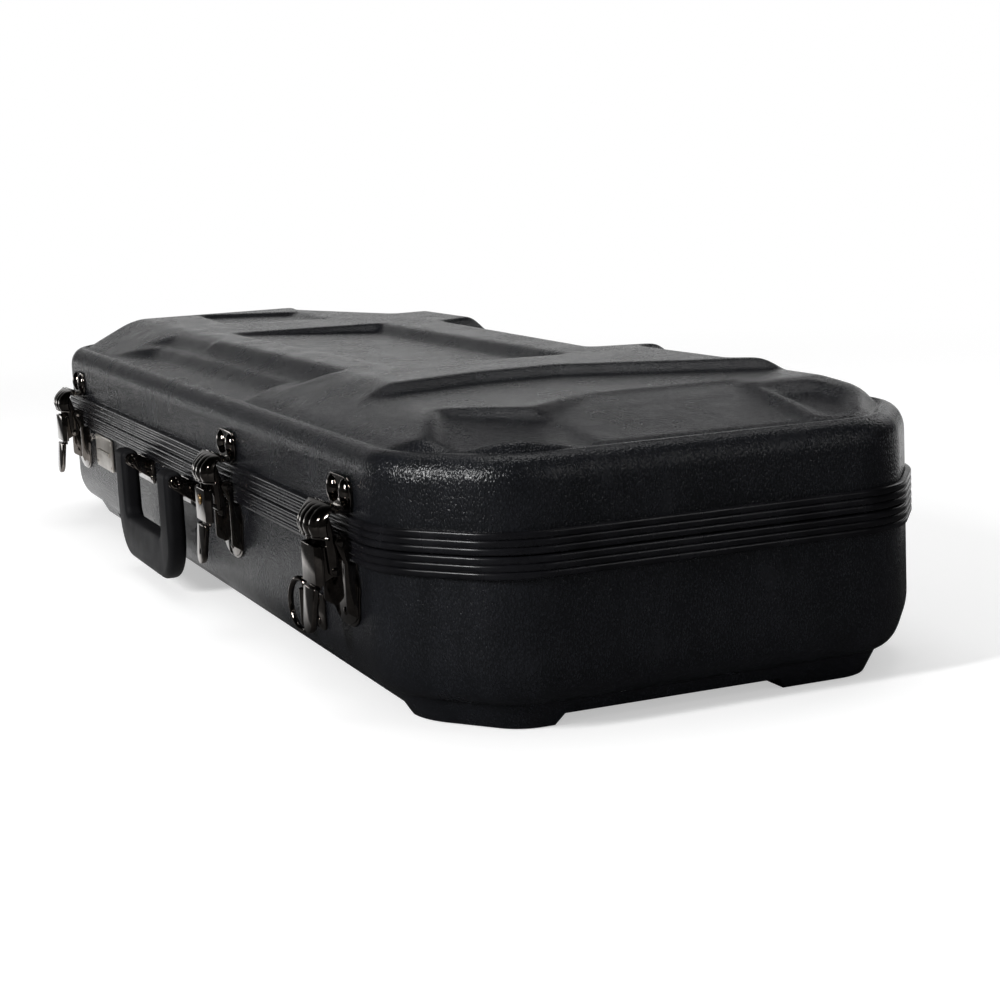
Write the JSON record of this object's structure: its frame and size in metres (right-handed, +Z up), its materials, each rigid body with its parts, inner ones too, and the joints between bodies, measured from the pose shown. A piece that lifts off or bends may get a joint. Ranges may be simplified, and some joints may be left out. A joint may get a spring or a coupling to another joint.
{
  "type": "violin case",
  "caption": "Oblong hard violin case with a sculpted clamshell lid, fluted metal valances, draw latches with a key lock, a drop handle, a strap ring and a padded interior.",
  "frame": {"origin": "on the floor, under the centre of the closed case's bounding box", "axes": "+X along the case's length towards the end with the strap ring, -Y towards the latches and the handle, +Y towards the hinges, +Z up from the feet to the lid"},
  "size_m": [0.82, 0.3106, 0.142],
  "materials": {
    "shell": "fine-grained black vacuum-formed ABS",
    "valance": "black satin anodised extrusion",
    "hardware": "dark black-nickel plated steel, bright",
    "brass": "bright brass",
    "handle": "matte black moulding",
    "plate": "bare satin plate",
    "plush": "dark plush over foam",
    "ribbon": "black woven ribbon"
  },
  "bodies": {
    "base": {"base_shell": "shell", "base_valance": "valance", "base_insert": "plush", "neck_strap": "ribbon", "hinge_base_leaf_1": "hardware", "hinge_base_leaf_2": "hardware", "hinge_base_leaf_3": "hardware", "hinge_pin_1": "hardware", "hinge_pin_2": "hardware", "hinge_pin_3": "hardware", "latch_base_left": "hardware", "latch_base_centre": "hardware", "latch_base_right": "hardware", "latch_pivot_pin_left": "hardware", "latch_pivot_pin_centre": "hardware", "latch_pivot_pin_right": "hardware", "handle_bracket_left": "hardware", "handle_bracket_right": "hardware", "handle_pin_left": "hardware", "handle_pin_right": "hardware", "strap_ring_bracket": "hardware", "nameplate": "plate"},
    "lid": {"lid_shell": "shell", "lid_valance": "valance", "lid_lining": "plush", "hinge_lid_leaf_1": "hardware", "hinge_lid_leaf_2": "hardware", "hinge_lid_leaf_3": "hardware", "latch_keeper_left": "hardware", "latch_keeper_centre": "hardware", "latch_keeper_right": "hardware", "bow_clip_post_1": "handle", "bow_clip_post_2": "handle", "bow_tip_loop_1": "ribbon", "bow_tip_loop_2": "ribbon"},
    "lever_left": {"latch_lever_left": "hardware", "latch_hook_pin_left": "hardware"},
    "lever_centre": {"latch_lever_centre": "hardware", "latch_hook_pin_centre": "hardware"},
    "lever_right": {"latch_lever_right": "hardware", "latch_hook_pin_right": "hardware"},
    "hook_left": {"latch_hook_left": "hardware"},
    "hook_centre": {"latch_hook_centre": "hardware"},
    "hook_right": {"latch_hook_right": "hardware"},
    "lock": {"lock_cylinder": "brass"},
    "handle": {"handle": "handle"},
    "strap_ring": {"strap_ring": "hardware"},
    "bow_toggle_1": {"bow_clip_toggle_1": "handle"},
    "bow_toggle_2": {"bow_clip_toggle_2": "handle"}
  },
  "joints": [
    {"name": "lid_hinge", "type": "hinge", "parent": "base", "child": "lid", "pos_m": [0, 0.15195, 0.083], "axis": [-1, 0, 0], "range_deg": [0, 105]},
    {"name": "latch_left", "type": "hinge", "parent": "base", "child": "lever_left", "pos_m": [-0.30709, -0.14125, 0.0825], "axis": [-1, 0, 0], "range_deg": [0, 75]},
    {"name": "latch_centre", "type": "hinge", "parent": "base", "child": "lever_centre", "pos_m": [0.10799, -0.14125, 0.0825], "axis": [-1, 0, 0], "range_deg": [0, 75]},
    {"name": "latch_right", "type": "hinge", "parent": "base", "child": "lever_right", "pos_m": [0.30709, -0.14125, 0.0825], "axis": [-1, 0, 0], "range_deg": [0, 75]},
    {"name": "hook_left", "type": "hinge", "parent": "lever_left", "child": "hook_left", "pos_m": [-0.30709, -0.14425, 0.069], "axis": [-1, 0, 0], "range_deg": [-75, 0]},
    {"name": "hook_centre", "type": "hinge", "parent": "lever_centre", "child": "hook_centre", "pos_m": [0.10799, -0.14425, 0.069], "axis": [-1, 0, 0], "range_deg": [-75, 0]},
    {"name": "hook_right", "type": "hinge", "parent": "lever_right", "child": "hook_right", "pos_m": [0.30709, -0.14425, 0.069], "axis": [-1, 0, 0], "range_deg": [-75, 0]},
    {"name": "lock_turn", "type": "hinge", "parent": "lever_centre", "child": "lock", "pos_m": [0.10799, -0.15315, 0.0743], "axis": [0, 1, 0], "range_deg": [0, 90]},
    {"name": "handle_swing", "type": "hinge", "parent": "base", "child": "handle", "pos_m": [-0.04399, -0.14705, 0.0725], "axis": [-1, 0, 0], "range_deg": [0, 95]},
    {"name": "strap_ring_swing", "type": "hinge", "parent": "base", "child": "strap_ring", "pos_m": [0.25009, -0.13785, 0.0385], "axis": [0, 0, 1], "range_deg": [-5, 150]},
    {"name": "bow_toggle_1_turn", "type": "hinge", "parent": "lid", "child": "bow_toggle_1", "pos_m": [0.22509, -0.06305, 0.1029], "axis": [0, 0, 1], "range_deg": [-90, 90]},
    {"name": "bow_toggle_2_turn", "type": "hinge", "parent": "lid", "child": "bow_toggle_2", "pos_m": [0.22509, 0.07295, 0.1029], "axis": [0, 0, 1], "range_deg": [-90, 90]}
  ],
  "couplings": [
    {"joint": "hook_left", "follows": "latch_left", "ratio": -1},
    {"joint": "hook_centre", "follows": "latch_centre", "ratio": -1},
    {"joint": "hook_right", "follows": "latch_right", "ratio": -1}
  ]
}
